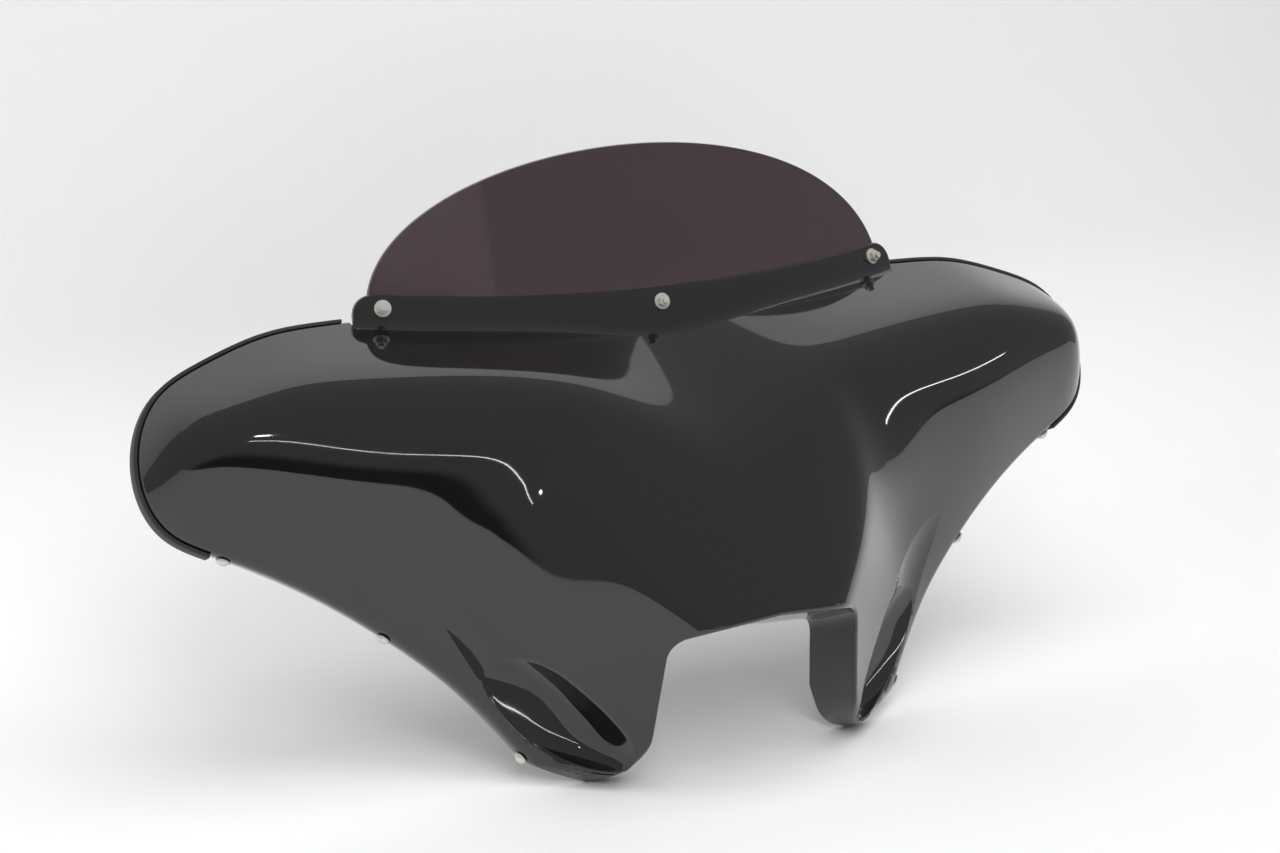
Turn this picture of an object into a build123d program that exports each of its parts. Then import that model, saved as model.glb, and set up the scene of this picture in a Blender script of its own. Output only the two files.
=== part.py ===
from build123d import *
import math
import os

# Motorcycle fairing: a moulded shell with a sloped nose, two wings and two legs beside the headlight gap,
# a tinted windshield bolted behind its upturned lip, and rubber trims on the wing ends.
# The shell is drawn in its mould frame: x across, y up along the flat rear plane, z forward from that plane.
# Everything is then stood up so that the rear plane leans as it does when the fairing stands on its legs.

# whole
rear_lean = 25.2            # lean of the rear plane from the vertical, degrees
wall = 4.0                  # shell wall

# wing deck, which rises forward from the upper rear edge
deck_rise = 1.30            # forward rise per millimetre of descent at the wings
deck_rise_centre = 0.76     # the same at the middle, where the deck slopes more
deck_saddle = 120.0         # half width of the steeper middle
deck_edge = -2.6            # height of the upper rear edge at the wings
deck_edge_centre = 11.8     # the height it would have at the middle
edge_drop_from = 309.0      # half width where the upper edge starts to fall
edge_drop = 0.39            # fall per millimetre beyond it
edge_drop_bend = 15.0       # length of the bend into that fall

# front face
nose_depth = 139.0          # depth at the top of the headlight gap
nose_taper = 0.10           # loss of depth per millimetre further up
nose_half = 140.0           # half width of the nose
nose_square = 2.2           # how flat the nose is across
wing_depth = 94.0           # depth limit of the wings
wing_bow = 2500.0           # radius of the wing fronts seen from above

# underside: its edge is an arc from the leg to the wing end
leg_half = 165.0
leg_edge = -354.0
wing_end_half = 380.0
wing_end_edge = -161.0
under_arc = 516.0
leg_rise = 0.92             # rise from that edge, at the leg, the waist and the wing
waist_rise = 0.76
wing_rise = 1.02
leg_bow = -0.0012           # bow of the rise, hollow at the leg and full at the waist
waist_bow = 0.0010
waist_spread = 90.0
waist_shift = 15.0

# wing tip and leg foot
tip_half = 420.8
tip_height = -106.0
tip_round = 124.0
tip_rise = 2.2
foot_edge = -392.5
foot_rise = 2.0

# softness of the blends between those faces
nose_blend = 10.0
ridge_blend = 4.0
wing_blend = 8.0
wing_blend_at = 300.0

# headlight gap and its return walls
gap_top = -284.5
gap_half_top = 80.0
gap_shoulder = 4.5          # fall of the gap's upper edge from the middle to its corners
gap_half_foot = 91.0
gap_foot = -378.0
gap_corner = 13.0
gap_flare = 24.0
return_depth = 75.0

# oval scoop on each leg, sunk forward into the shell
scoop_half = 149.0
scoop_height = -320.0
scoop_half_length = 56.0
scoop_half_width = 25.0
scoop_depth = 19.0
scoop_turn = 50.7           # turn of its long axis from across

# windshield sheet and the lip in front of it
sheet_radius = 716.0
sheet_front = -46.0         # place of the sheet's front face at the middle
sheet_lean = 20.0
sheet_thickness = 3.0
sheet_half = 229.0
sheet_height = 117.0
sheet_tuck = 10.0           # how far the sheet runs down behind the lip
sheet_corner = 6.0
lip_half = 241.0
lip_top_middle = 9.5
lip_top_end = 19.1
lip_corner = 18.0
lip_root = 70.0             # length below the lip that is trimmed by the deck
sheet_gap = 0.3

# rim that runs back from the rear edge, from the leg round the wing end to the lip
rim_depth = 13.0
rim_end_half = 152.0        # place of its lower end, on the leg
rim_end_height = -362.0
rim_hub_half = 210.0        # point from which the edge is searched for
rim_hub_height = -170.0
rim_step = 2.0              # degrees between its points, seen from there

# rubber trims on the wing ends, pushed over the rim
trim_wall = 2.7
trim_low = 1.0              # how far the trim stays behind the rear edge
trim_start = 5.0            # distance of its upper end from the lip
trim_end_half = 378.0       # place of its lower, square end
trim_end_height = -162.0
trim_gap = 0.3

# drawing of the curved surface
grid = 8.0                  # spacing of the sections and points that it is drawn through
margin = 30.0               # how far it is drawn past the part's outline
ease_depth = -30.0          # depth behind the rear plane where it levels out
ease = 10.0                 # softness of that levelling
slope_step = 0.2            # step for the slopes of its formula
offset_rounds = 5           # rounds of the search for the foot of an offset point
edge_error = 0.001          # error allowed in the search for the edge

# fasteners
thread_radius = 2.5         # over the crests, where the thread is free
pitch_radius = 2.25         # where a nut or a hole holds it
thread_gap = 0.05
hole_gap = 0.3
seat_gap = 0.2
skin_gap = 0.5              # at a washer or nut on the curved skin
nut_across = 8.0
nut_height = 4.0
bolt_tail = 3.0             # thread that stands out of a nut
washer_radius = 6.5
washer_thickness = 1.2
soft_washer_thickness = 2.0
head_radius = 4.75
head_height = 3.0
bolt_places = [(-219.0, 8.0), (0.0, -1.0), (219.0, 8.0)]
edge_screw_heights = [-167.0, -243.0, -350.0]
edge_screw_tail = 8.0       # thread that stands out inside, for the inner fairing's tabs
edge_washer_radius = 5.5


def soft_min(blend, *values):
    low = min(values)
    return low - blend * math.log(sum(math.exp((low - value) / blend) for value in values))


def deck(x, y):
    middle = math.exp(-(x / deck_saddle) ** 2)
    rise = deck_rise + (deck_rise_centre - deck_rise) * middle
    fall = edge_drop * edge_drop_bend * math.log1p(math.exp((x - edge_drop_from) / edge_drop_bend))
    return rise * (deck_edge + (deck_edge_centre - deck_edge) * middle - fall - y)


def front_face(x, y):
    nose = nose_depth - nose_taper * (y - gap_top)
    wing = wing_depth - x * x / (2 * wing_bow)
    return wing + (nose - wing) * math.exp(-(x / nose_half) ** nose_square)


# centre of the underside's arc, and the middle and direction of its chord
chord_x = wing_end_half - leg_half
chord_y = wing_end_edge - leg_edge
chord = math.hypot(chord_x, chord_y)
along_x = chord_x / chord
along_y = chord_y / chord
middle_x = leg_half + chord_x / 2
middle_y = leg_edge + chord_y / 2
arc_reach = math.sqrt(under_arc ** 2 - (chord / 2) ** 2)
arc_x = middle_x + along_y * arc_reach
arc_y = middle_y - along_x * arc_reach


def underside(x, y):
    place = (x - middle_x) * along_x + (y - middle_y) * along_y + waist_shift
    away = 1 - math.exp(-(place / waist_spread) ** 2)
    end_rise = leg_rise if place < 0 else wing_rise
    end_bow = leg_bow if place < 0 else waist_bow
    rise = waist_rise + (end_rise - waist_rise) * away
    bow = waist_bow + (end_bow - waist_bow) * away
    inside = math.hypot(x - arc_x, y - arc_y) - under_arc
    return rise * inside - bow * inside * abs(inside)


def scoop(x, y):
    turn = math.radians(scoop_turn)
    along = (x - scoop_half) * math.cos(turn) + (y - scoop_height) * math.sin(turn)
    across = (y - scoop_height) * math.cos(turn) - (x - scoop_half) * math.sin(turn)
    inside = 1 - (along / scoop_half_length) ** 2 - (across / scoop_half_width) ** 2
    return scoop_depth * max(inside, 0) ** 1.5


def depth(x, y):
    # forward depth of the outer surface over the rear plane
    x = abs(x)
    tip = tip_rise * (tip_half - x - (y - tip_height) ** 2 / (2 * tip_round))
    foot = foot_rise * (y - foot_edge)
    front = soft_min(nose_blend, deck(x, y), front_face(x, y))
    blend = ridge_blend + wing_blend * (x / wing_blend_at) ** 2
    return soft_min(blend, front, underside(x, y), tip, foot) - scoop(x, y)


def eased_depth(x, y):
    # the same, levelling out well behind the rear plane
    return ease_depth + ease * math.log1p(math.exp((depth(x, y) - ease_depth) / ease))


def normal_at(x, y):
    step = slope_step
    slope_x = (eased_depth(x + step, y) - eased_depth(x - step, y)) / (2 * step)
    slope_y = (eased_depth(x, y + step) - eased_depth(x, y - step)) / (2 * step)
    length = math.sqrt(1 + slope_x ** 2 + slope_y ** 2)
    return -slope_x / length, -slope_y / length, 1 / length


def offset_depth(x, y, offset):
    # depth at x, y of the surface that lies the given distance outside the outer one
    if offset == 0:
        return eased_depth(x, y)
    foot_x, foot_y = x, y
    for _ in range(offset_rounds):
        normal = normal_at(foot_x, foot_y)
        foot_x = x - normal[0] * offset
        foot_y = y - normal[1] * offset
    return eased_depth(foot_x, foot_y) + normal[2] * offset


def rim_angle(x, y):
    return math.degrees(math.atan2(y - rim_hub_height, x - rim_hub_half))


def rim_point(angle, offset):
    # point of the rear edge seen from the hub at that angle, moved out across the edge by the offset
    way = Vector(math.cos(math.radians(angle)), math.sin(math.radians(angle)))
    hub = Vector(rim_hub_half, rim_hub_height)
    inner = 0.0
    outer = tip_half
    while outer - inner > edge_error:
        middle = hub + way * (inner + outer) / 2
        if depth(middle.X, middle.Y) > 0:
            inner = (inner + outer) / 2
        else:
            outer = (inner + outer) / 2
    point = hub + way * inner
    return point + rim_normal(point.X, point.Y) * offset


def rim_normal(x, y):
    return Vector(*normal_at(x, y)[:2]).normalized()


def edge_half(y):
    # half width of the rear edge at that height
    inner = gap_half_foot
    outer = tip_half + wall
    while outer - inner > edge_error:
        middle = (inner + outer) / 2
        if depth(middle, y) > 0:
            inner = middle
        else:
            outer = middle
    return inner


def spread(low, high, pitch):
    count = math.ceil((high - low) / pitch)
    return [low + (high - low) * index / count for index in range(count + 1)]


def under_surface(offset, xs, ys):
    # everything behind the offset surface over the given grid, lofted across from one section to the next
    back = -2 * nose_depth
    shares = [index / (len(ys) - 1) for index in range(len(ys))]
    sections = []
    for x in xs:
        points = [Vector(x, y, offset_depth(x, y, offset)) for y in ys]
        skin = Edge.make_spline(points, parameters=shares)
        rest = Polyline(points[-1], (x, ys[-1], back), (x, ys[0], back), points[0])
        sections.append(Wire([skin, *rest.edges()]))
    return Solid.make_loft(sections)


def slab(low, high):
    return Pos(0, 0, (low + high) / 2) * Box(4 * tip_half, 4 * tip_half, high - low)


def gap_outline():
    corners = [(gap_half_top, gap_top - gap_shoulder), (gap_half_foot, gap_foot)]
    lowest = foot_edge - gap_flare
    outer = gap_half_foot + 2 * gap_flare
    points = [(0, gap_top), *corners, (outer, gap_foot), (outer, lowest), (0, lowest)]
    half = make_face(Polyline(*points, close=True))
    for corner, radius in zip(corners, (gap_corner, gap_flare)):
        half = fillet(half.vertices().sort_by_distance(corner)[0], radius)
    return half + mirror(half, about=Plane.YZ)


def stand(shape):
    return Rot(90 - rear_lean, 0, 0) * shape


def leaning(plan, low, high):
    # a plan drawn at the lip's base height, carried up and down along the sheet's lean
    lean = math.tan(math.radians(sheet_lean))
    start = Pos(0, lean * low, low) * plan
    return extrude(start, amount=(high - low) / math.cos(math.radians(sheet_lean)), dir=(0, lean, 1))


def sheet_plan(inner, outer, half):
    centre = Pos(0, sheet_front + sheet_radius)
    ring = centre * Circle(sheet_radius + outer)
    if inner is not None:
        ring = ring - centre * Circle(sheet_radius + inner)
    return ring & Pos(0, sheet_front) * Rectangle(2 * half, sheet_radius / 2)


def from_front(outline):
    return extrude(Plane.XZ * outline, amount=sheet_radius, both=True)


def lip_depth():
    return wall / math.cos(math.radians(sheet_lean))


def lip():
    left = (-lip_half, lip_top_end)
    right = (lip_half, lip_top_end)
    top = ThreePointArc(left, (0, lip_top_middle), right)
    sides = Polyline(right, (lip_half, -lip_root), (-lip_half, -lip_root), left)
    outline = make_face([top, sides])
    outline = fillet(outline.vertices().group_by(Axis.Y)[-1], lip_corner)
    band = leaning(sheet_plan(sheet_gap, sheet_gap + lip_depth(), lip_half), -lip_root, 2 * lip_top_end)
    return band & from_front(outline)


def behind_lip():
    return leaning(sheet_plan(None, sheet_gap, lip_half), -lip_root, lip_root)


def front_frame(x, z):
    # frame on the lip's front face, looking forward along its normal
    radius = sheet_radius + sheet_gap + lip_depth()
    lean = math.tan(math.radians(sheet_lean))
    turn = math.asin(x / radius)
    point = Vector(x, sheet_front + sheet_radius - radius * math.cos(turn) + lean * z, z)
    normal = Vector(math.sin(turn), -math.cos(turn), lean * math.cos(turn)).normalized()
    return Plane(point, z_dir=normal).location


def rim_band(first, last, inner, outer, low, high):
    # strip along the right rear edge between two angles, two offsets and two depths
    angles = spread(first, last, rim_step)
    inside = Spline(*[rim_point(angle, inner) for angle in angles])
    outside = Spline(*[rim_point(angle, outer) for angle in angles])
    ends = [Line(inside @ 0, outside @ 0), Line(inside @ 1, outside @ 1)]
    plan = make_face([inside, outside, *ends])
    return extrude(Pos(0, 0, low) * plan, amount=high - low, dir=(0, 0, 1))


def rim():
    first = rim_angle(rim_end_half, rim_end_height)
    last = rim_angle(lip_half, deck_edge)
    return rim_band(first, last, -wall, 0, -rim_depth, 0)


def edge_frames():
    # frames on the rim's outer side, looking out
    frames = []
    for side in (-1, 1):
        for y in edge_screw_heights:
            x = side * edge_half(y)
            place = Plane(Vector(x, y, -rim_depth / 2), z_dir=rim_normal(x, y))
            frames.append(stand(place.location))
    return frames


def disc(radius, low, high):
    return Pos(0, 0, (low + high) / 2) * Cylinder(radius, high - low)


def washer(radius, low, high):
    return disc(radius, low, high) - disc(thread_radius + hole_gap, low, high)


def nut(low, high):
    body = Pos(0, 0, low) * extrude(RegularPolygon(nut_across / math.sqrt(3), 6), high - low)
    return body - disc(pitch_radius + thread_gap, low, high)


def pan_head(base, way):
    # domed head whose seat is at base and which rises along way
    rise = head_height
    ball = (head_radius ** 2 + rise ** 2) / (2 * rise)
    dome = Pos(0, 0, base - way * (ball - rise)) * Sphere(ball)
    return dome & disc(head_radius, min(base, base + way * rise), max(base, base + way * rise))


def hole(low, high):
    return disc(thread_radius + hole_gap, low, high)


def at_each(frames, shape):
    return Compound([frame * solid for frame in frames for solid in shape.solids()])


# heights along a windshield bolt, from the lip's front face
bolt_frames = [front_frame(x, z) for x, z in bolt_places]
stack_back = wall + sheet_gap + sheet_thickness + seat_gap
bolt_seat = -(stack_back + soft_washer_thickness)
front_washer = (seat_gap, seat_gap + washer_thickness)
front_nut = (front_washer[1], front_washer[1] + nut_height)

# heights along a lower edge screw, from the shell's outer face
screw_frames = edge_frames()
edge_washer = (skin_gap, skin_gap + washer_thickness)
edge_nut = (-(wall + skin_gap + nut_height), -(wall + skin_gap))
edge_tail = edge_nut[0] - edge_screw_tail


def shell():
    across = tip_half + margin
    xs = spread(-across, across, grid)
    ys = spread(foot_edge - margin / 2, deck_edge_centre + margin, grid)
    behind = under_surface(0, xs, ys)
    hollow = under_surface(-wall, xs, ys)
    solid = behind & slab(0, 2 * nose_depth)
    gap = gap_outline()
    gap_hole = extrude(gap, 2 * nose_depth)
    ring = extrude(offset(gap, wall), 2 * nose_depth) - gap_hole
    returns = (solid & ring) - Pos(0, 0, -return_depth) * behind
    body = stand(solid - hollow - gap_hole) - behind_lip()
    body = body + stand(returns)
    body = body + [stand(rim()), stand(mirror(rim(), about=Plane.YZ))]
    body = body + (lip() - stand(hollow))
    return body - [frame_at * hole(-2 * wall, wall) for frame_at in bolt_frames + screw_frames]


def windshield():
    dome = Ellipse(sheet_half, sheet_height)
    dome = dome & Pos(0, sheet_height / 2) * Rectangle(2 * sheet_half, sheet_height)
    tuck = Pos(0, -sheet_tuck / 2) * Rectangle(2 * sheet_half, sheet_tuck)
    outline = dome + tuck
    outline = fillet(outline.vertices().group_by(Axis.Y)[0], sheet_corner)
    plan = sheet_plan(-sheet_thickness / math.cos(math.radians(sheet_lean)), 0, sheet_half + sheet_gap)
    sheet = leaning(plan, -2 * sheet_tuck, 2 * sheet_height) & from_front(outline)
    for frame_at in bolt_frames:
        sheet = sheet - frame_at * hole(-2 * stack_back, wall)
    return sheet


def trim(side):
    first = rim_angle(trim_end_half, trim_end_height)
    last = rim_angle(lip_half + trim_start, deck_edge)
    gap = trim_gap
    cover = trim_gap + trim_wall
    rubber = rim_band(first, last, -(wall + cover), cover, -(rim_depth + cover), -trim_low)
    rubber = rubber - rim_band(first, last, -(wall + gap), gap, -(rim_depth + gap), 0)
    rubber = rubber if side > 0 else mirror(rubber, about=Plane.YZ)
    return stand(rubber)


def windshield_bolts():
    shank = disc(pitch_radius, bolt_seat, front_nut[1])
    tail = disc(thread_radius, front_nut[1], front_nut[1] + bolt_tail)
    return at_each(bolt_frames, shank + tail + pan_head(bolt_seat, -1))


def lower_edge_screws():
    shank = disc(pitch_radius, edge_nut[0], edge_washer[1])
    tail = disc(thread_radius, edge_tail, edge_nut[0])
    return at_each(screw_frames, shank + tail + pan_head(edge_washer[1], 1))


pieces = {
    "fairing_shell": shell(),
    "windshield": windshield(),
    "edge_trim_left": trim(-1),
    "edge_trim_right": trim(1),
    "windshield_bolts": windshield_bolts(),
    "windshield_rubber_washers": at_each(bolt_frames, washer(washer_radius, bolt_seat, -stack_back)),
    "windshield_washers": at_each(bolt_frames, washer(washer_radius, *front_washer)),
    "windshield_nuts": at_each(bolt_frames, nut(*front_nut)),
    "lower_edge_screws": lower_edge_screws(),
    "lower_edge_washers": at_each(screw_frames, washer(edge_washer_radius, *edge_washer)),
    "lower_edge_nuts": at_each(screw_frames, nut(*edge_nut)),
}

# the origin is on the ground, under the middle of the whole
bounds = [piece.bounding_box() for piece in pieces.values()]
front = min(box.min.Y for box in bounds)
back = max(box.max.Y for box in bounds)
to_ground = Pos(0, -(front + back) / 2, -min(box.min.Z for box in bounds))

os.makedirs("parts", exist_ok=True)
for name, piece in pieces.items():
    export_step(to_ground * piece, f"parts/{name}.step")

print("moved by", to_ground.position)
for frame_at in screw_frames:
    tail = to_ground * frame_at * Pos(0, 0, edge_tail)
    print("screw tail at", tail.position, "axis", Plane(tail).z_dir)
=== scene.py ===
import math
import bpy
import numpy as np
from mathutils import Matrix, Vector
from mathutils.geometry import delaunay_2d_cdt


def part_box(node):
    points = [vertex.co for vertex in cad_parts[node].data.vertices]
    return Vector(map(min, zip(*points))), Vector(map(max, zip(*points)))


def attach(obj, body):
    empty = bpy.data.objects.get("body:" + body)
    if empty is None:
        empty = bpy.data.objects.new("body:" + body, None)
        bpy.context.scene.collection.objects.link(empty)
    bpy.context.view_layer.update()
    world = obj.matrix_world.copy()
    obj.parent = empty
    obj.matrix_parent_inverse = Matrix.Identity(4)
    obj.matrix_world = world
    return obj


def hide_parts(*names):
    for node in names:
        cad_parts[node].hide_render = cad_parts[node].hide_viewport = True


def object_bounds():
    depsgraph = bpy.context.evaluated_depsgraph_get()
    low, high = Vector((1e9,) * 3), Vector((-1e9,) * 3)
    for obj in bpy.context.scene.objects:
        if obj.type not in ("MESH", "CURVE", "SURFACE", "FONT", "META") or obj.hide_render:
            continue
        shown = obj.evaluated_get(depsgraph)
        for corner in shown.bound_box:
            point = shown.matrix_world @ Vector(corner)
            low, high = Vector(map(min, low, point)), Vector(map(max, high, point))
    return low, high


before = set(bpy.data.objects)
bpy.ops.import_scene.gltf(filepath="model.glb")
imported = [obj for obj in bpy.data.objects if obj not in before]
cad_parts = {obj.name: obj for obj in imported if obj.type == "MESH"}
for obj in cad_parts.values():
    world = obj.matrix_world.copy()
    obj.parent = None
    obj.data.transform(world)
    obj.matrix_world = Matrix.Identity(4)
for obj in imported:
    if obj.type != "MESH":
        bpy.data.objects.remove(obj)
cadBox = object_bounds()
print("frame loaded:", len(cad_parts), "nodes")

mm = 0.001


def linear(hexColour):
    # sRGB hex to the linear values that the shaders want
    parts = [int(hexColour[place:place + 2], 16) / 255 for place in (1, 3, 5)]
    return tuple(part / 12.92 if part <= 0.04045 else ((part + 0.055) / 1.055) ** 2.4 for part in parts)


def addNode(tree, kind, settings=None, inputs=None, links=None):
    # settings are the node's own fields, inputs its socket values, links {socket: (node, output)}
    node = tree.nodes.new(kind)
    for key, value in (settings or {}).items():
        setattr(node, key, value)
    for key, value in (inputs or {}).items():
        node.inputs[key].default_value = value
    for key, (source, output) in (links or {}).items():
        tree.links.new(source.outputs[output], node.inputs[key])
    return node


def newMaterial(name, colour, **sockets):
    material = bpy.data.materials.new(name)
    material.use_nodes = True
    tree = material.node_tree
    shader = tree.nodes["Principled BSDF"]
    shader.inputs["Base Color"].default_value = (*linear(colour), 1)
    for key, value in sockets.items():
        shader.inputs[key].default_value = value
    material.diffuse_color = (*linear(colour), 1)
    return material, tree, shader


def makePiece(name, points, faces, material, slot, nodes, normals=None, sharpDegrees=35):
    mesh = bpy.data.meshes.new(name)
    mesh.from_pydata([tuple(point) for point in points], [], faces)
    mesh.materials.append(material)
    mesh.polygons.foreach_set("use_smooth", [True] * len(mesh.polygons))
    mesh.update()
    if normals is None:
        mesh.set_sharp_from_angle(angle=math.radians(sharpDegrees))
    else:
        mesh.normals_split_custom_set_from_vertices([tuple(normal) for normal in normals])
    piece = bpy.data.objects.new(name, mesh)
    bpy.context.scene.collection.objects.link(piece)
    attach(piece, "root")
    if nodes:
        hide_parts(*nodes)
    return piece


# forms of the moulded shell, in millimetres in its mould frame: x across, y up its rear plane, z forward
shellForm = {
    "rearLean": 25.2, "wall": 4.0,
    "deckRise": 1.30, "deckRiseCentre": 0.76, "deckSaddle": 120.0, "deckEdge": -2.6, "deckEdgeCentre": 11.8,
    "edgeDropFrom": 309.0, "edgeDrop": 0.39, "edgeDropBend": 15.0,
    "noseDepth": 139.0, "noseTaper": 0.10, "noseHalf": 140.0, "noseSquare": 2.2,
    "wingDepth": 94.0, "wingBow": 2500.0,
    "legHalf": 165.0, "legEdge": -354.0, "wingEndHalf": 380.0, "wingEndEdge": -161.0, "underArc": 516.0,
    "legRise": 0.92, "waistRise": 0.76, "wingRise": 1.02, "legBow": -0.0012, "waistBow": 0.0010,
    "waistSpread": 90.0, "waistShift": 15.0,
    "tipHalf": 420.8, "tipHeight": -106.0, "tipRound": 124.0, "tipRise": 2.2, "footEdge": -392.5, "footRise": 2.0,
    "noseBlend": 10.0, "ridgeBlend": 4.0, "wingBlend": 8.0, "wingBlendAt": 300.0,
    "gapTop": -284.5, "gapHalfTop": 80.0, "gapShoulder": 4.5, "gapHalfFoot": 91.0, "gapFoot": -378.0,
    "gapCorner": 13.0, "gapFlare": 24.0, "returnDepth": 75.0, "gapRound": 4.0,
    "scoopHalf": 149.0, "scoopHeight": -320.0, "scoopTurn": 50.7, "scoopTip": 125.0, "scoopEnd": -68.0,
    "runHalfWidth": 22.5, "runDepth": 9.0, "runSwing": 4.5, "runEnd": 56.0,
    "bowlAlong": 8.0, "bowlAcross": -4.0, "bowlUp": 49.0, "bowlDown": 80.0, "bowlInner": 24.0, "bowlOuter": 19.0,
    "bowlBend": 0.0011, "bowlFloor": 12.0, "bowlFloorRise": 0.38, "bowlSquare": 3.8,
    "waistHalf": 172.0, "waistHeight": -205.0, "waistWide": 45.0, "waistTall": 60.0, "waistTilt": 0.18,
    "rimDepth": 13.0, "rimEndHalf": 152.0, "rimEndHeight": -362.0, "rimGrow": 22.0, "rimRoll": 12.0,
    "skinPitch": 3.0, "gapPitch": 2.0, "rimPitch": 2.5, "scoopPitch": 2.0,
}
sheetForm = {
    "radius": 716.0, "front": -46.0, "lean": 20.0, "thickness": 3.0, "half": 229.0, "height": 117.0, "tuck": 10.0,
    "gap": 0.3, "edgeRound": 0.7, "columns": 180, "rows": 40,
}
lipForm = {
    "half": 241.0, "topMiddle": 9.5, "topEnd": 19.1, "corner": 18.0, "footRadius": 13.0, "edgeRound": 1.2,
    "stations": 241, "endCrowding": 0.35,
}
trimForm = {
    "wall": 2.7, "low": 1.0, "start": 5.0, "endHalf": 378.0, "endHeight": -162.0, "gap": 0.3, "edgeRound": 0.8,
}

f = shellForm
lean = math.tan(math.radians(sheetForm["lean"]))
sheetLow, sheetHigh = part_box("windshield")
# how far the stood shell was moved to set it on the ground
moveY = sheetLow.y / mm - (sheetForm["front"] - lean * sheetForm["tuck"])
moveZ = sheetHigh.z / mm - sheetForm["height"]
standCos = math.cos(math.radians(90 - f["rearLean"]))
standSin = math.sin(math.radians(90 - f["rearLean"]))


def softMin(blend, *values):
    low = np.minimum.reduce(values)
    return low - blend * np.log(sum(np.exp((low - value) / blend) for value in values))


def deck(x, y):
    middle = np.exp(-(x / f["deckSaddle"]) ** 2)
    rise = f["deckRise"] + (f["deckRiseCentre"] - f["deckRise"]) * middle
    fall = f["edgeDrop"] * f["edgeDropBend"] * np.log1p(np.exp((x - f["edgeDropFrom"]) / f["edgeDropBend"]))
    return rise * (f["deckEdge"] + (f["deckEdgeCentre"] - f["deckEdge"]) * middle - fall - y)


def frontFace(x, y):
    nose = f["noseDepth"] - f["noseTaper"] * (y - f["gapTop"])
    wing = f["wingDepth"] - x * x / (2 * f["wingBow"])
    return wing + (nose - wing) * np.exp(-(x / f["noseHalf"]) ** f["noseSquare"])


def underside(x, y):
    chordX, chordY = f["wingEndHalf"] - f["legHalf"], f["wingEndEdge"] - f["legEdge"]
    chord = math.hypot(chordX, chordY)
    alongX, alongY = chordX / chord, chordY / chord
    middleX, middleY = f["legHalf"] + chordX / 2, f["legEdge"] + chordY / 2
    reach = math.sqrt(f["underArc"] ** 2 - (chord / 2) ** 2)
    place = (x - middleX) * alongX + (y - middleY) * alongY + f["waistShift"]
    away = 1 - np.exp(-(place / f["waistSpread"]) ** 2)
    rise = f["waistRise"] + (np.where(place < 0, f["legRise"], f["wingRise"]) - f["waistRise"]) * away
    bow = f["waistBow"] + (np.where(place < 0, f["legBow"], f["waistBow"]) - f["waistBow"]) * away
    inside = np.hypot(x - middleX - alongY * reach, y - middleY + alongX * reach) - f["underArc"]
    return rise * inside - bow * inside * np.abs(inside)


scoopLength = f["scoopTip"] - f["scoopEnd"]
scoopCos, scoopSin = math.cos(math.radians(f["scoopTurn"])), math.sin(math.radians(f["scoopTurn"]))


def scoopPlace(x, y):
    along = (x - f["scoopHalf"]) * scoopCos + (y - f["scoopHeight"]) * scoopSin
    across = (y - f["scoopHeight"]) * scoopCos - (x - f["scoopHalf"]) * scoopSin
    return along, across


def scoopPoint(along, across):
    return np.stack([f["scoopHalf"] + along * scoopCos - across * scoopSin,
                     f["scoopHeight"] + along * scoopSin + across * scoopCos], -1)


def runShape(share):
    # half width and sideways swing of the run into the scoop, by the share of the length from its pointed end
    half = f["runHalfWidth"] * (1 - (1 - share) ** 2.2) ** 0.55 + 1e-3
    return half, f["runSwing"] * np.cos(2 * math.pi * (share - 0.17))


def scoopRun(x, y):
    # how far the shallow pointed run is sunk
    along, across = scoopPlace(x, y)
    share = np.clip((f["scoopTip"] - along) / scoopLength, 0, 1)
    half, swing = runShape(share)
    return f["runDepth"] * share * np.maximum(1 - share ** 8 - ((across - swing) / half) ** 2, 0)


def bowlReaches(along, across):
    # the bowl's half length and half width on the side where a place lies
    return np.where(along > 0, f["bowlUp"], f["bowlDown"]), np.where(across > 0, f["bowlInner"], f["bowlOuter"])


def bowlSwing(along):
    # how far the bowl's middle line leans inward below its deepest place
    return f["bowlBend"] * np.minimum(along, 0) ** 2


def plainDepth(x, y):
    # forward depth of the outer skin over the rear plane, with the run into the scoop but without its bowl
    x = np.abs(np.asarray(x, float))
    y = np.asarray(y, float)
    tip = f["tipRise"] * (f["tipHalf"] - x - (y - f["tipHeight"]) ** 2 / (2 * f["tipRound"]))
    foot = f["footRise"] * (y - f["footEdge"])
    front = softMin(f["noseBlend"], deck(x, y), frontFace(x, y))
    blend = f["ridgeBlend"] + f["wingBlend"] * (x / f["wingBlendAt"]) ** 2
    outer = softMin(blend, front, underside(x, y), tip, foot)
    wide, tall = (x - f["waistHalf"]) / f["waistWide"], (y - f["waistHeight"]) / f["waistTall"]
    return outer + f["waistTilt"] * (y - f["waistHeight"]) * np.exp(-wide ** 2 - tall ** 2) - scoopRun(x, y)


def depth(x, y):
    # the same with the bowl, which has a floor that faces forward and walls that rise to a crisp edge
    plain = plainDepth(x, y)
    along, across = scoopPlace(np.abs(x), y)
    along = along - f["bowlAlong"]
    across = across - f["bowlAcross"] - bowlSwing(along)
    length, width = bowlReaches(along, across)
    share = np.minimum(np.hypot(along / length, across / width), 1)
    floor = np.minimum(f["bowlFloor"] + f["bowlFloorRise"] * across, plain)
    return floor + (plain - floor) * share ** f["bowlSquare"]


def slopes(x, y, step=0.1):
    across = (depth(x + step, y) - depth(x - step, y)) / (2 * step)
    up = (depth(x, y + step) - depth(x, y - step)) / (2 * step)
    return across, up


def skinNormals(x, y):
    across, up = slopes(x, y)
    normals = np.stack([-across, -up, np.ones_like(across)], -1)
    return normals / np.linalg.norm(normals, axis=-1, keepdims=True)


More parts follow.
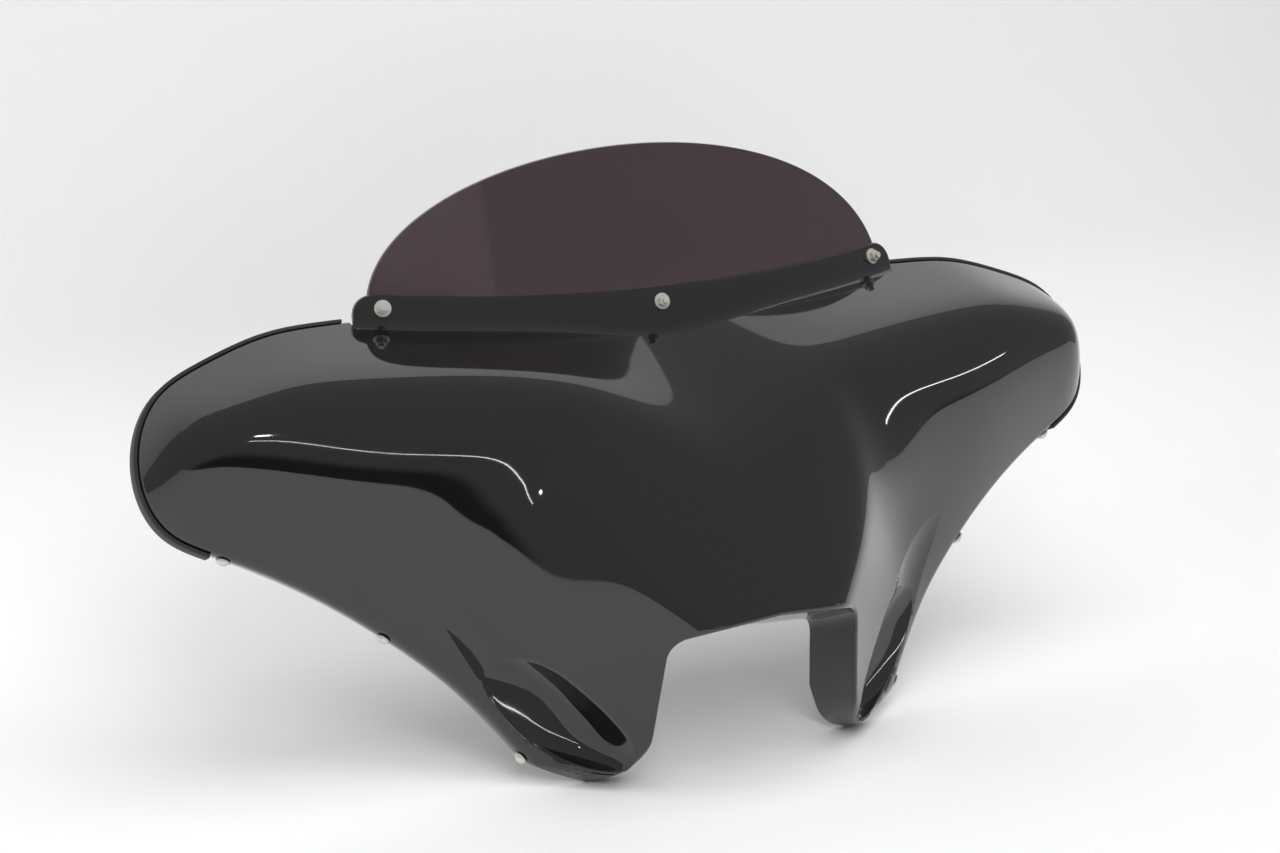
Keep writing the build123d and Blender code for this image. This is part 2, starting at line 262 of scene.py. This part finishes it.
def standDirections(rows):
    rows = np.asarray(rows, float)
    x, y, z = rows[..., 0], rows[..., 1], rows[..., 2]
    return np.stack([x, standCos * y - standSin * z, standSin * y + standCos * z], -1)


def toRow(rows):
    # mould frame in millimetres to the part's own frame in metres, with the feet flat on the ground
    return np.maximum((standDirections(rows) + (0, moveY, moveZ)) * mm, (-1, -1, 0))


def bisect(function, low, high, rounds=40):
    # where the function goes from above zero at low to below zero at high, for whole arrays
    low, high = np.broadcast_arrays(np.asarray(low, float), np.asarray(high, float))
    low, high = low.copy(), high.copy()
    for _ in range(rounds):
        middle = (low + high) / 2
        above = function(middle) > 0
        low = np.where(above, middle, low)
        high = np.where(above, high, middle)
    return (low + high) / 2


def arcPoints(corner, before, after, radius, count):
    # points of the round that replaces a corner between two straight runs
    corner, before, after = (np.array(point, float) for point in (corner, before, after))
    a = (before - corner) / np.linalg.norm(before - corner)
    b = (after - corner) / np.linalg.norm(after - corner)
    half = math.acos(np.clip(a @ b, -1, 1)) / 2
    middle = corner + (a + b) / np.linalg.norm(a + b) * radius / math.sin(half)
    start, end = corner + a * radius / math.tan(half) - middle, corner + b * radius / math.tan(half) - middle
    sweep = math.acos(np.clip(start @ end / radius ** 2, -1, 1))
    steps = [step / count for step in range(count + 1)]
    return [middle + (math.sin((1 - t) * sweep) * start + math.sin(t * sweep) * end) / math.sin(sweep) for t in steps]


def resample(points, pitch):
    points = np.asarray(points, float)
    lengths = np.concatenate([[0], np.cumsum(np.linalg.norm(np.diff(points, axis=0), axis=1))])
    count = max(2, int(round(lengths[-1] / pitch)))
    places = np.linspace(0, lengths[-1], count + 1)
    return np.stack([np.interp(places, lengths, points[:, axis]) for axis in range(points.shape[1])], -1)


def gapLine(pitch):
    # right half of the headlight gap's outline, from the middle of its top to the foot
    top = (0, f["gapTop"])
    shoulder = (f["gapHalfTop"], f["gapTop"] - f["gapShoulder"])
    foot = (f["gapHalfFoot"], f["gapFoot"])
    out = (f["gapHalfFoot"] + 2 * f["gapFlare"], f["gapFoot"])
    points = [top, *arcPoints(shoulder, top, foot, f["gapCorner"], 12)]
    points += [*arcPoints(foot, shoulder, out, f["gapFlare"], 16), out]
    line = resample(points, pitch)
    inside = depth(line[:, 0], line[:, 1]) > 0
    return line[:int(np.argmin(inside))] if not inside.all() else line


def lipBase(x, offset):
    # plan place of a face that stands the given distance in front of the windshield's front face
    return sheetForm["front"] + sheetForm["radius"] - np.sqrt((sheetForm["radius"] + offset) ** 2 - x * x)


def deckUnderLip(x, offset):
    # height up the mould where the deck passes through that face
    def ahead(y):
        stood = standDirections(np.stack([x, y, depth(x, y)], -1))
        return lipBase(x, offset) + lean * stood[..., 2] - stood[..., 1]
    return bisect(ahead, np.full_like(x, -60.0), np.full_like(x, 25.0))


lipDepth = f["wall"] / math.cos(math.radians(sheetForm["lean"]))


def outerLine(pitch):
    # right half of the shell's rear edge, from the gap's foot round the wing end to the lip
    hub = np.array([210.0, -170.0])                                   # a place inside the half, which rays leave from
    start = gapLine(pitch)[-1] - hub
    angles = np.arange(math.atan2(start[1], start[0]), math.radians(100), pitch / 240)
    reach = bisect(lambda r: depth(hub[0] + r * np.cos(angles), hub[1] + r * np.sin(angles)),
                   np.full_like(angles, 5.0), np.full_like(angles, 330.0))
    line = np.stack([hub[0] + reach * np.cos(angles), hub[1] + reach * np.sin(angles)], -1)
    keep = ~((line[:, 1] > -60) & (line[:, 0] < lipForm["half"]))
    return resample(line[keep], pitch)


def mirrored(line):
    return np.concatenate([line[::-1] * (-1, 1), line[1:]])


def outward(line):
    # unit normals of an open line, on its left side
    run = np.gradient(line, axis=0)
    run /= np.linalg.norm(run, axis=1, keepdims=True)
    return np.stack([-run[:, 1], run[:, 0]], -1)


# moulded skin: one triangulated sheet inside its outlines, given its wall afterwards
skinPitch = f["skinPitch"]
gapHalf = gapLine(f["gapPitch"])
rimHalf = outerLine(f["rimPitch"])
lipX = np.linspace(lipForm["half"], 0, 90)
lipHalf = np.stack([lipX, deckUnderLip(lipX, sheetForm["gap"] + lipDepth / 2)], -1)


def rimFrames(line):
    # directions straight out from the rear edge, and how far the skin turns there to run back into the rim
    slope = np.stack(slopes(line[:, 0], line[:, 1]), -1)
    steep = np.linalg.norm(slope, axis=1)
    return -slope / steep[:, None], math.pi / 2 - np.arctan(steep)


def rimDepths(line):
    # depth of the rim, which grows from nothing at its lower end
    lengths = np.concatenate([[0], np.cumsum(np.linalg.norm(np.diff(line, axis=0), axis=1))])
    end = np.argmin(np.linalg.norm(line - (f["rimEndHalf"], f["rimEndHeight"]), axis=1))
    share = np.clip((lengths - lengths[end]) / f["rimGrow"], 0, 1)
    return 0.3 + (f["rimDepth"] - 0.3) * share * share * (3 - 2 * share)


rimOut, rimTurn = rimFrames(rimHalf)
rimBack = rimDepths(rimHalf)
rimRoll = np.minimum(f["rimRoll"], 0.6 * rimBack / np.tan(rimTurn / 2))
rimInset = rimRoll * (1 - np.cos(rimTurn))


def crossing(first, second):
    # where two lines cross: the last index kept of the first, the first kept of the second, and the point
    for i in range(len(first) - 1, 0, -1):
        a, b = first[i - 1], first[i]
        for j in range(min(len(second) - 1, 60)):
            c, d = second[j], second[j + 1]
            matrix = np.array([b - a, c - d]).T
            if abs(np.linalg.det(matrix)) > 1e-9:
                s, t = np.linalg.solve(matrix, c - a)
                if 0 <= s <= 1 and 0 <= t <= 1:
                    return i - 1, j + 1, a + s * (b - a)
    return len(first) - 1, 0, (first[-1] + second[0]) / 2


def skinOutline():
    # the skin stops just inside the rounded gap edge and just inside the rim's roll
    cut = gapHalf + outward(gapHalf) * f["gapRound"] * 0.9
    cut = cut[(cut[:, 0] >= 0)]
    cut[0, 0] = 0.0
    rim = rimHalf - rimOut * (rimInset + 0.3)[:, None]
    last, first, corner = crossing(cut, rim)
    half = np.concatenate([cut[:last + 1], [corner], rim[first:], lipHalf])
    return np.concatenate([half[:-1], (half * (-1, 1))[::-1][:-1]])


def scoopRows():
    # lines along the scoop's edges, so that the triangles follow them
    share = np.linspace(0.02, (f["scoopTip"] - f["runEnd"]) / scoopLength, 60)
    half, swing = runShape(share)
    along = f["scoopTip"] - share * scoopLength
    lines = []
    for outside in (1.0, 0.0, -1.2):
        lines += [scoopPoint(along, swing + half + outside), scoopPoint(along, swing - half - outside)]
    turns = np.linspace(0, 2 * math.pi, 181)
    length, width = bowlReaches(np.cos(turns), np.sin(turns))
    for outside in (1.0, 0.0, -0.8, -1.8, -3.0, -4.4, -6.0, -8.0, -10.0):
        along = (length + outside) * np.cos(turns)
        lines.append(scoopPoint(f["bowlAlong"] + along,
                                f["bowlAcross"] + bowlSwing(along) + (width + outside) * np.sin(turns)))
    rows = []
    for line in lines:
        row = resample(line, f["scoopPitch"])
        rows += [row, row * (-1, 1)]
    return rows


def shellSkin():
    outline = skinOutline()
    lines = [np.concatenate([outline, outline[:1]])]
    lines += scoopRows()
    fixed = np.concatenate(lines)
    xs = np.arange(-f["tipHalf"], f["tipHalf"] + skinPitch, skinPitch)
    ys = np.arange(f["footEdge"], 20, skinPitch)
    gridX, gridY = np.meshgrid(xs, ys)
    inner = np.stack([gridX.ravel(), gridY.ravel()], -1)
    inner = inner[depth(inner[:, 0], inner[:, 1]) > -1]
    near = np.full(len(inner), 1e9)
    for start in range(0, len(fixed), 200):
        block = fixed[start:start + 200]
        gaps = np.linalg.norm(inner[:, None, :] - block[None, :, :], axis=2).min(axis=1)
        near = np.minimum(near, gaps)
    inner = inner[near > skinPitch * 0.5]
    points, edges = [outline], [(place, (place + 1) % len(outline)) for place in range(len(outline))]
    for line in lines[1:]:
        start = sum(len(block) for block in points)
        points.append(line)
        edges += [(start + place, start + place + 1) for place in range(len(line) - 1)]
    points = np.concatenate([*points, inner])
    flat, _, faces, _, _, _ = delaunay_2d_cdt([Vector(point) for point in points], edges, [], 1, 1e-4)
    flat = np.array([tuple(point) for point in flat])
    used = np.unique(np.concatenate([np.asarray(face) for face in faces]))
    renumber = np.full(len(flat), -1)
    renumber[used] = np.arange(len(used))
    faces = [[int(renumber[corner]) for corner in face] for face in faces]
    x, y = flat[used].T
    z = np.maximum(depth(x, y), 0)
    normals = skinNormals(x, y)
    front = np.stack([x, y, z], -1)
    back = front - normals * f["wall"]
    back[:, 2] = np.maximum(back[:, 2], 0)
    size = len(front)
    border = {}
    for face in faces:
        for a, b in zip(face, face[1:] + face[:1]):
            border[(a, b)] = border.get((a, b), 0) + 1
    allFaces = [tuple(face) for face in faces]
    allFaces += [tuple(size + corner for corner in reversed(face)) for face in faces]
    allFaces += [(b, a, size + a, size + b) for a, b in border if (b, a) not in border]
    return np.concatenate([front, back]), allFaces, np.concatenate([normals, -normals])


def facingOut(points, faces):
    # faces turned so that the closed form they bound has a volume above zero
    corners = np.array([(face[0], b, c) for face in faces for b, c in zip(face[1:], face[2:])])
    a, b, c = (points[corners[:, column]] for column in range(3))
    volume = np.einsum("ij,ij->i", a, np.cross(b, c)).sum()
    return faces if volume > 0 else [tuple(reversed(face)) for face in faces]


def sweep(rings, closeEnds=True):
    # closed tube through rings of equal length, as points and faces
    points = np.concatenate(rings)
    size = len(rings[0])
    faces = []
    for ring in range(len(rings) - 1):
        for place in range(size):
            a, b = ring * size + place, ring * size + (place + 1) % size
            faces.append((a, b, b + size, a + size))
    if closeEnds:
        faces.append(tuple(reversed(range(size))))
        faces.append(tuple(range(len(points) - size, len(points))))
    return points, faces


def rimStrip(side):
    # rolled edge of the skin and the rim that runs back from it
    rings = []
    roundSteps = 9
    for point, out, turn, back, roll in zip(rimHalf, rimOut, rimTurn, rimBack, rimRoll):
        reach = roll * math.tan(turn / 2)
        inset = roll * (1 - math.cos(turn))
        start = float(depth(*(point - out * inset)))
        lift = start - reach * math.cos(turn)
        deeper = point - out * (inset + 2.5)
        ring = [(*deeper, float(depth(*deeper)) - 0.15)]
        for step in range(roundSteps + 1):
            share = step / roundSteps
            angle = turn * (1 - share)
            ring.append((*(point - out * roll * (1 - math.cos(angle))),
                         roll * math.sin(angle) - reach + lift * (1 - share) ** 2))
        r = min(1.0, back * 0.3)
        wall = f["wall"]
        for inside, z in ((0, r - back), (0.3 * r, 0.3 * r - back), (r, -back), (wall - r, -back),
                          (wall - 0.3 * r, 0.3 * r - back), (wall, r - back), (wall, 0.5)):
            ring.append((*(point - out * inside), z))
        rings.append(np.array(ring))
    points, faces = sweep(rings)
    points = toRow(points * (side, 1, 1))
    return points, facingOut(points, faces)


def gapReturn():
    # rounded edge of the headlight gap and the return wall behind it
    line = mirrored(gapHalf)
    sides = outward(line)
    rings = []
    roundSteps = 8
    for point, side in zip(line, sides):
        ring = []
        for step in range(roundSteps + 1):
            turn = math.pi / 2 * step / roundSteps
            place = point + side * f["gapRound"] * (1 - math.sin(turn))
            ring.append((*place, max(float(depth(*place)), 0) - f["gapRound"] * (1 - math.cos(turn))))
        edgeDepth = max(float(depth(*point)), 0)
        rear = max(edgeDepth - f["returnDepth"], 0)
        first = ring[-1][2]
        for share in (0.03, 0.5, 0.97, 1):
            ring.append((*point, first + (min(rear, first) - first) * share))
        outer = point + side * f["wall"]
        ring.append((*outer, min(rear, first)))
        ring.append((*outer, ring[0][2] - f["wall"] * 0.7))
        rings.append(np.array(ring))
    points, faces = sweep(rings)
    points = toRow(points)
    return points, facingOut(points, faces)


def lipTop(x):
    # height of the lip's upper edge, with its rounded ends
    half, corner = lipForm["half"], lipForm["corner"]
    rise = lipForm["topMiddle"] + (lipForm["topEnd"] - lipForm["topMiddle"]) * (x / half) ** 2
    over = np.maximum(np.abs(x) - (half - corner), 0)
    return rise - corner + np.sqrt(np.maximum(corner ** 2 - over ** 2, 0))


def lipStrip():
    # upturned lip with the hollow round where it leaves the deck, swept from end to end
    half = lipForm["half"]
    angles = np.linspace(-math.pi / 2, math.pi / 2, lipForm["stations"])
    crowd = lipForm["endCrowding"]
    stations = half * np.sin(angles) * crowd + half * angles / (math.pi / 2) * (1 - crowd)
    stations = np.clip(stations, -half + 0.05, half - 0.05)
    faceOffset = sheetForm["gap"] + lipDepth
    foot = deckUnderLip(stations, faceOffset)
    upLip = np.array([lean, 1]) / math.hypot(lean, 1)
    rings = []
    for x, y in zip(stations, foot):
        join = standDirections((x, y, float(depth(x, y))))[1:]
        below = standDirections((x, y - 1, float(depth(x, y - 1))))[1:]
        upDeck = (join - below) / np.linalg.norm(join - below)
        bend = math.acos(np.clip(upDeck @ upLip, -1, 1))
        top = float(lipTop(x))
        reach = min(lipForm["footRadius"] * math.tan(bend / 2), max(top - join[1] - 2, 0.3))
        down = y - reach / np.linalg.norm(join - below)
        start = standDirections((x, down, float(depth(x, down))))[1:]
        end = join + upLip * reach
        ring = []
        for step in range(11):
            t = step / 10
            ring.append((1 - t) ** 2 * start + 2 * t * (1 - t) * join + t * t * end)
        crest = np.array([join[0] + lean * (top - join[1]), top])
        backCrest = crest + (lipDepth, 0)
        r = min(lipForm["edgeRound"], max((top - end[1]) * 0.4, 0.02))
        ring.append(end + (crest - end) * 0.5)
        for corner, side in ((crest, 1), (backCrest, -1)):
            for step in range(4):
                turn = math.pi / 2 * step / 3
                shift = r * (1 - math.cos(turn)) if side > 0 else r * (1 - math.sin(turn))
                drop = r * (1 - math.sin(turn)) if side > 0 else r * (1 - math.cos(turn))
                ring.append(corner + (side * shift - lean * drop, -drop))
        ring.append(join + (lipDepth, 0) + np.array([lean, 1]) * (-1.0))
        ring.append(start + (0.6, -1.2))
        rings.append(np.array([(x, *point) for point in ring]))
    points, faces = sweep(rings)
    points = (points + (0, moveY, moveZ)) * mm
    return points, facingOut(points, faces)


def joinParts(parts):
    points, faces = [], []
    for partPoints, partFaces in parts:
        shift = sum(len(block) for block in points)
        points.append(np.asarray(partPoints))
        faces += [tuple(shift + corner for corner in face) for face in partFaces]
    return np.concatenate(points), faces


def blackGelcoat():
    # black gelcoat from a polished mould: mirror gloss, with a faint 45 mm ripple and a dust haze in 60 mm clouds
    material, tree, shader = newMaterial("blackGelcoat", "#161617", Roughness=0.05, IOR=1.6)
    shader.inputs["Coat Weight"].default_value = 0.25
    shader.inputs["Coat Roughness"].default_value = 0.02
    place = addNode(tree, "ShaderNodeNewGeometry")
    ripple = addNode(tree, "ShaderNodeTexNoise", inputs={"Scale": 1 / (45 * mm), "Detail": 1.0},
                     links={"Vector": (place, "Position")})
    bump = addNode(tree, "ShaderNodeBump", inputs={"Strength": 0.06, "Distance": 1.2 * mm},
                   links={"Height": (ripple, "Fac")})
    tree.links.new(bump.outputs["Normal"], shader.inputs["Normal"])
    haze = addNode(tree, "ShaderNodeTexNoise", inputs={"Scale": 1 / (60 * mm), "Detail": 6.0},
                   links={"Vector": (place, "Position")})
    gloss = addNode(tree, "ShaderNodeMapRange",
                    inputs={"From Min": 0.35, "From Max": 0.75, "To Min": 0.03, "To Max": 0.075},
                    links={"Value": (haze, "Fac")})
    tree.links.new(gloss.outputs["Result"], shader.inputs["Roughness"])
    return material


shellPaint = blackGelcoat()
skinPoints, skinFaces, skinDirections = shellSkin()
skin = makePiece("fairing_skin", toRow(skinPoints), skinFaces, shellPaint, "gloss_black_shell", ["fairing_shell"],
                 normals=standDirections(skinDirections))
lip = makePiece("fairing_lip", *lipStrip(), shellPaint, "gloss_black_shell", ["fairing_shell"])
returns = makePiece("fairing_gap_edge", *gapReturn(), shellPaint, "gloss_black_shell", ["fairing_shell"])
rims = makePiece("fairing_rims", *joinParts([rimStrip(-1), rimStrip(1)]), shellPaint, "gloss_black_shell",
                 ["fairing_shell"])
print("shell:", [len(piece.data.polygons) for piece in (skin, lip, returns, rims)], "faces")


# windshield: a bent acrylic sheet with an oval top and polished edges
def shieldSheet():
    half, height, tuck = sheetForm["half"], sheetForm["height"], sheetForm["tuck"]
    columns, rows = sheetForm["columns"], sheetForm["rows"]
    across = half * np.sin(np.linspace(-math.pi / 2, math.pi / 2, columns + 1)) * 0.9995     # ends not quite a point
    thick = sheetForm["thickness"] / math.cos(math.radians(sheetForm["lean"]))
    rings = []
    for x in across:
        top = height * math.sqrt(max(1 - (x / half) ** 2, 0))
        ups = np.linspace(-tuck, top, rows + 1)
        frontFace = [(lipBase(x, 0) + lean * z, z) for z in ups]
        backFace = [(lipBase(x, -thick) + lean * z, z) for z in ups[::-1]]
        rings.append(np.array([(x, *point) for point in frontFace + backFace]))
    points, faces = sweep(rings)
    points = (points + (0, moveY, moveZ)) * mm
    return points, facingOut(points, faces)


def smokeAcrylic():
    # cast acrylic dyed brown-grey: clear and glossy, it lets through a dull plum light, with rubbed patches of 30 mm
    material, tree, shader = newMaterial("smokeAcrylic", "#463a3f", Roughness=0.02, IOR=1.49)
    shader.inputs["Transmission Weight"].default_value = 1.0
    place = addNode(tree, "ShaderNodeNewGeometry")
    rub = addNode(tree, "ShaderNodeTexNoise", inputs={"Scale": 1 / (30 * mm), "Detail": 5.0},
                  links={"Vector": (place, "Position")})
    haze = addNode(tree, "ShaderNodeMapRange",
                   inputs={"From Min": 0.45, "From Max": 0.8, "To Min": 0.015, "To Max": 0.09},
                   links={"Value": (rub, "Fac")})
    tree.links.new(haze.outputs["Result"], shader.inputs["Roughness"])
    return material


shield = makePiece("smoke_windshield", *shieldSheet(), smokeAcrylic(), "smoke_acrylic", ["windshield"])
bevel = shield.modifiers.new("polishedEdge", "BEVEL")
bevel.width = sheetForm["edgeRound"] * mm
bevel.segments = 2
bevel.limit_method = "ANGLE"
bevel.angle_limit = math.radians(50)
print("windshield:", len(shield.data.polygons), "faces")


# rubber trims pushed over the rim at the wing ends
def trimStrip(side):
    t = trimForm
    line = rimHalf[rimHalf[:, 0] > lipForm["half"] + t["start"]]
    ends = np.linalg.norm(line - (t["endHalf"], t["endHeight"]), axis=1)
    line = resample(line[int(np.argmin(ends)):], 3.0)
    outer, inner = t["gap"] + t["wall"], -(f["wall"] + t["gap"] + t["wall"])
    top, bottom, floor = -t["low"], -(f["rimDepth"] + t["gap"] + t["wall"]), -(f["rimDepth"] + t["gap"])
    r = t["edgeRound"]
    section = [(t["gap"], top), (outer - r, top), (outer - 0.3 * r, top - 0.3 * r), (outer, top - r),
               (outer, bottom + 1.5 * r), (outer - 0.45 * r, bottom + 0.45 * r), (outer - 1.5 * r, bottom),
               (inner + 1.5 * r, bottom), (inner + 0.45 * r, bottom + 0.45 * r), (inner, bottom + 1.5 * r),
               (inner, top - r), (inner + 0.3 * r, top - 0.3 * r), (inner + r, top), (-f["wall"] - t["gap"], top),
               (-f["wall"] - t["gap"], floor), (t["gap"], floor)]
    rings = [np.array([(*(point + out * offset), z) for offset, z in section])
             for point, out in zip(line, rimFrames(line)[0])]
    points, faces = sweep(rings)
    points = toRow(points * (side, 1, 1))
    return points, facingOut(points, faces)


def trimRubber():
    # extruded black rubber: matte, greyed a little where it was handled; its grain is drawn coarse, at 1.5 mm, to show
    material, tree, shader = newMaterial("trimRubber", "#2b2b2c", Roughness=0.62, IOR=1.5)
    place = addNode(tree, "ShaderNodeNewGeometry")
    grain = addNode(tree, "ShaderNodeTexNoise", inputs={"Scale": 1 / (1.5 * mm), "Detail": 3.0},
                    links={"Vector": (place, "Position")})
    bump = addNode(tree, "ShaderNodeBump", inputs={"Strength": 0.15, "Distance": 0.3 * mm},
                   links={"Height": (grain, "Fac")})
    tree.links.new(bump.outputs["Normal"], shader.inputs["Normal"])
    wear = addNode(tree, "ShaderNodeTexNoise", inputs={"Scale": 1 / (50 * mm), "Detail": 4.0},
                   links={"Vector": (place, "Position")})
    tone = addNode(tree, "ShaderNodeMixRGB",
                   inputs={"Color1": (*linear("#252526"), 1), "Color2": (*linear("#38383a"), 1)},
                   links={"Fac": (wear, "Fac")})
    tree.links.new(tone.outputs["Color"], shader.inputs["Base Color"])
    return material


rubber = trimRubber()
for side, node in ((-1, "edge_trim_left"), (1, "edge_trim_right")):
    makePiece(node + "_rubber", *trimStrip(side), rubber, "trim_rubber", [node], sharpDegrees=40)
print("trims: two strips")


# fasteners keep their modelled forms
def brightSteel():
    # turned and tumbled stainless steel: bright but dulled by tumbling; its marks are drawn coarse, at 1.2 mm, to show
    material, tree, shader = newMaterial("brightSteel", "#d8d5cd", Metallic=0.55, Roughness=0.2)
    place = addNode(tree, "ShaderNodeNewGeometry")
    marks = addNode(tree, "ShaderNodeTexNoise", inputs={"Scale": 1 / (1.2 * mm), "Detail": 4.0},
                    links={"Vector": (place, "Position")})
    gloss = addNode(tree, "ShaderNodeMapRange", inputs={"To Min": 0.12, "To Max": 0.32},
                    links={"Value": (marks, "Fac")})
    tree.links.new(gloss.outputs["Result"], shader.inputs["Roughness"])
    return material


def washerRubber():
    # soft moulded rubber: dull black with a 1 mm grain
    material, tree, shader = newMaterial("washerRubber", "#1c1c1c", Roughness=0.7)
    place = addNode(tree, "ShaderNodeNewGeometry")
    grain = addNode(tree, "ShaderNodeTexNoise", inputs={"Scale": 1 / (1.0 * mm)}, links={"Vector": (place, "Position")})
    bump = addNode(tree, "ShaderNodeBump", inputs={"Strength": 0.2, "Distance": 0.2 * mm},
                   links={"Height": (grain, "Fac")})
    tree.links.new(bump.outputs["Normal"], shader.inputs["Normal"])
    return material


steel = brightSteel()
softBlack = washerRubber()
for name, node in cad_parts.items():
    if name in ("fairing_shell", "windshield", "edge_trim_left", "edge_trim_right"):
        continue
    node.data.materials.clear()
    node.data.materials.append(softBlack if "rubber" in name else steel)
print("fasteners dressed")


# white sweep behind and under the part, with the room in front left dim
stageForm = {"wallBehind": 0.42, "wallHeight": 1.45, "bend": 0.25,
             "front": ((-1.7, -0.5), (0.4, -0.47), (1.7, -0.16))}


def clothSweep():
    g = stageForm
    behind = cadBox[1][1] + g["wallBehind"]
    profile = [(behind - g["bend"], 0.0)]
    for step in range(1, 17):
        turn = math.pi / 2 * step / 16
        profile.append((behind - g["bend"] + g["bend"] * math.sin(turn), g["bend"] * (1 - math.cos(turn))))
    profile.append((behind, g["wallHeight"]))
    columns = [[(x, front, 0.0), *[(x, y, z) for y, z in profile]] for x, front in g["front"]]
    count = len(columns[0])
    starts = [column * count + row for column in range(len(columns) - 1) for row in range(count - 1)]
    faces = [(start, start + count, start + count + 1, start + 1) for start in starts]
    mesh = bpy.data.meshes.new("cloth_sweep")
    mesh.from_pydata([point for column in columns for point in column], [], faces)
    mesh.polygons.foreach_set("use_smooth", [True] * len(mesh.polygons))
    material, tree, shader = newMaterial("whiteCloth", "#f4f4f4", Roughness=0.9)
    shader.inputs["Specular IOR Level"].default_value = 0.1
    side = addNode(tree, "ShaderNodeNewGeometry")
    clear = addNode(tree, "ShaderNodeBsdfTransparent")
    oneSided = addNode(tree, "ShaderNodeMixShader", links={"Fac": (side, "Backfacing")})   # no wall seen from behind
    tree.links.new(shader.outputs["BSDF"], oneSided.inputs[1])
    tree.links.new(clear.outputs["BSDF"], oneSided.inputs[2])
    tree.links.new(oneSided.outputs["Shader"], tree.nodes["Material Output"].inputs["Surface"])
    mesh.materials.append(material)
    cloth = bpy.data.objects.new("cloth_sweep", mesh)
    bpy.context.scene.collection.objects.link(cloth)


clothSweep()


def areaLamp(name, place, target, size, power, glossy):
    lamp = bpy.data.lights.new(name, "AREA")
    lamp.shape = "RECTANGLE"
    lamp.size, lamp.size_y = size
    lamp.energy = power
    lampObject = bpy.data.objects.new(name, lamp)
    lampObject.location = place
    lampObject.rotation_euler = (Vector(target) - Vector(place)).to_track_quat("-Z", "Y").to_euler()
    lampObject.visible_glossy = glossy
    lampObject.visible_camera = False
    bpy.context.scene.collection.objects.link(lampObject)


# broad lamps light the cloth and the part, and the small ones are the bright lines that the gloss mirrors
lampForm = {
    "overheadSoft": ((0.0, -0.6, 2.4), (0, 0.1, 0.2), (2.2, 1.8), 36, False),
    "frontFill": ((-0.7, -2.4, 2.3), (0, 0.5, 0.85), (1.6, 1.2), 33, False),
    "roomTube": ((-0.55, -2.6, 0.15), (-0.2, 0, 0.25), (1.1, 0.02), 1.2, True),
    "sideTube": ((2.6, -1.7, 0.2), (0.2, 0, 0.25), (0.8, 0.035), 1.4, True),
    "cameraLamp": ((-0.95, -2.3, 0.45), (-0.3, 0, 0.28), (0.09, 0.06), 0.8, True),
}
for name, (place, target, size, power, glossy) in lampForm.items():
    areaLamp(name, place, target, size, power, glossy)


# room around the sweep: dark below and dim above for the gloss to mirror, white to the eye and through the sheet
roomForm = {
    "stops": ((0.0, "#2e2622"), (0.33, "#2e2622"), (0.37, "#969698"), (1.0, "#a2a2a5")), "strength": 1.0,
}


def softRoom():
    world = bpy.data.worlds.new("softRoom")
    world.use_nodes = True
    tree = world.node_tree
    room, output = tree.nodes["Background"], tree.nodes["World Output"]
    place = addNode(tree, "ShaderNodeTexCoord")
    height = addNode(tree, "ShaderNodeSeparateXYZ", links={"Vector": (place, "Generated")})
    level = addNode(tree, "ShaderNodeMapRange", inputs={"From Min": -1.0, "From Max": 1.0},
                    links={"Value": (height, "Z")})
    ramp = addNode(tree, "ShaderNodeValToRGB", links={"Fac": (level, "Result")})
    stops = roomForm["stops"]
    while len(ramp.color_ramp.elements) < len(stops):
        ramp.color_ramp.elements.new(0.5)
    for element, (position, colour) in zip(ramp.color_ramp.elements, stops):
        element.position = position
        element.color = (*linear(colour), 1)
    tree.links.new(ramp.outputs["Color"], room.inputs["Color"])
    room.inputs["Strength"].default_value = roomForm["strength"]
    white = addNode(tree, "ShaderNodeBackground", inputs={"Color": (1, 1, 1, 1), "Strength": 1.0})
    path = addNode(tree, "ShaderNodeLightPath")
    seen = addNode(tree, "ShaderNodeMath", {"operation": "MAXIMUM"})
    tree.links.new(path.outputs["Is Camera Ray"], seen.inputs[0])
    tree.links.new(path.outputs["Is Transmission Ray"], seen.inputs[1])
    mix = addNode(tree, "ShaderNodeMixShader", links={"Fac": (seen, "Value")})
    tree.links.new(room.outputs["Background"], mix.inputs[1])
    tree.links.new(white.outputs["Background"], mix.inputs[2])
    tree.links.new(mix.outputs["Shader"], output.inputs["Surface"])
    bpy.context.scene.world = world


softRoom()

# camera solved from the photograph's perspective
cameraForm = {
    "place": (-0.7843, -1.4367, 0.7213), "toCamera": (-0.43651, -0.85691, 0.27416), "lens": 61.875, "sensor": 36.0,
}
camera = bpy.data.cameras.new("photoCamera")
camera.sensor_fit = "HORIZONTAL"
camera.sensor_width = cameraForm["sensor"]
camera.lens = cameraForm["lens"]
cameraObject = bpy.data.objects.new("photoCamera", camera)
back = Vector(cameraForm["toCamera"]).normalized()
right = Vector((0, 0, 1)).cross(back).normalized()
up = back.cross(right)
cameraObject.matrix_world = Matrix.Translation(cameraForm["place"]) @ Matrix((right, up, back)).transposed().to_4x4()
bpy.context.scene.collection.objects.link(cameraObject)
bpy.context.scene.camera = cameraObject
bpy.context.scene.view_settings.view_transform = "Standard"
print("camera and light placed")
